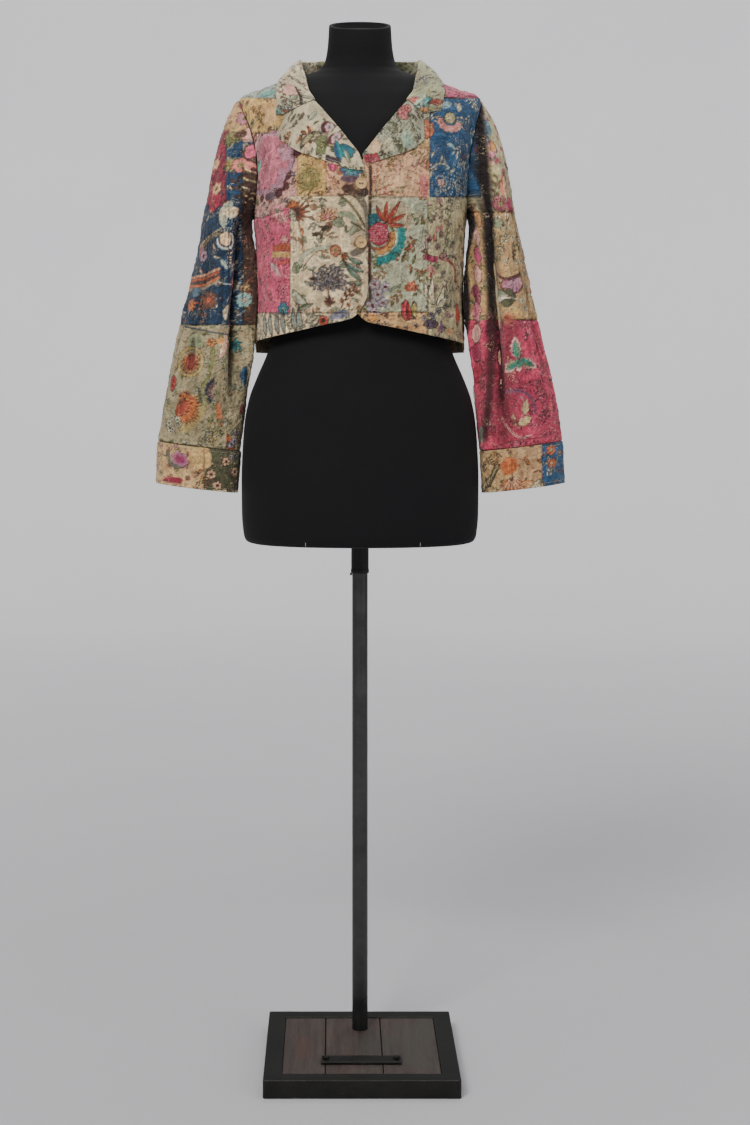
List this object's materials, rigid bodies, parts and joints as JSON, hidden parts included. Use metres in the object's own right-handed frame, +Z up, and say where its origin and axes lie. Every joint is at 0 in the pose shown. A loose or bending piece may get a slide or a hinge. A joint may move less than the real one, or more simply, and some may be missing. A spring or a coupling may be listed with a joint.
{
  "type": "patchwork jacket on dress form stand",
  "caption": "Cropped cotton patchwork jacket with a notched collar, buttoned on a limbless black dress form that turns on a pole with a square base.",
  "frame": {"origin": "where the pole's axis meets the floor, on the underside of the base", "axes": "+Z up along the pole, the jacket's front faces -Y, +X towards the wearer's left sleeve"},
  "size_m": [0.617, 0.329, 1.5656],
  "materials": {
    "cotton_cream": "matt printed cotton",
    "cotton_sage": "matt printed cotton",
    "cotton_blue": "matt printed cotton",
    "cotton_rose": "matt printed cotton",
    "cotton_ochre": "matt printed cotton",
    "button_wood": "polished",
    "jersey": "matt black jersey",
    "dark_steel": "satin, dark",
    "board_wood": "dark stained, matt"
  },
  "bodies": {
    "stand": {"base_tray": "dark_steel", "base_board_right": "board_wood", "base_board_middle": "board_wood", "base_board_left": "board_wood", "base_bar": "dark_steel", "base_bolt_right": "dark_steel", "base_bolt_left": "dark_steel", "pole": "dark_steel", "pole_pin": "dark_steel"},
    "form": {"form_socket": "dark_steel", "form_torso": "jersey", "front_right": "cotton_cream", "front_left": "cotton_sage", "back": "cotton_ochre", "sleeve_right": "cotton_blue", "sleeve_left": "cotton_rose", "cuff_right": "cotton_ochre", "cuff_left": "cotton_ochre", "collar": "cotton_cream", "lapel_right": "cotton_cream", "lapel_left": "cotton_sage", "button_upper": "button_wood", "button_lower": "button_wood"}
  },
  "joints": [
    {"name": "form_turn", "type": "hinge", "parent": "stand", "child": "form", "pos_m": [0, 0, 0.745], "axis": [0, 0, 1], "continuous": true}
  ]
}
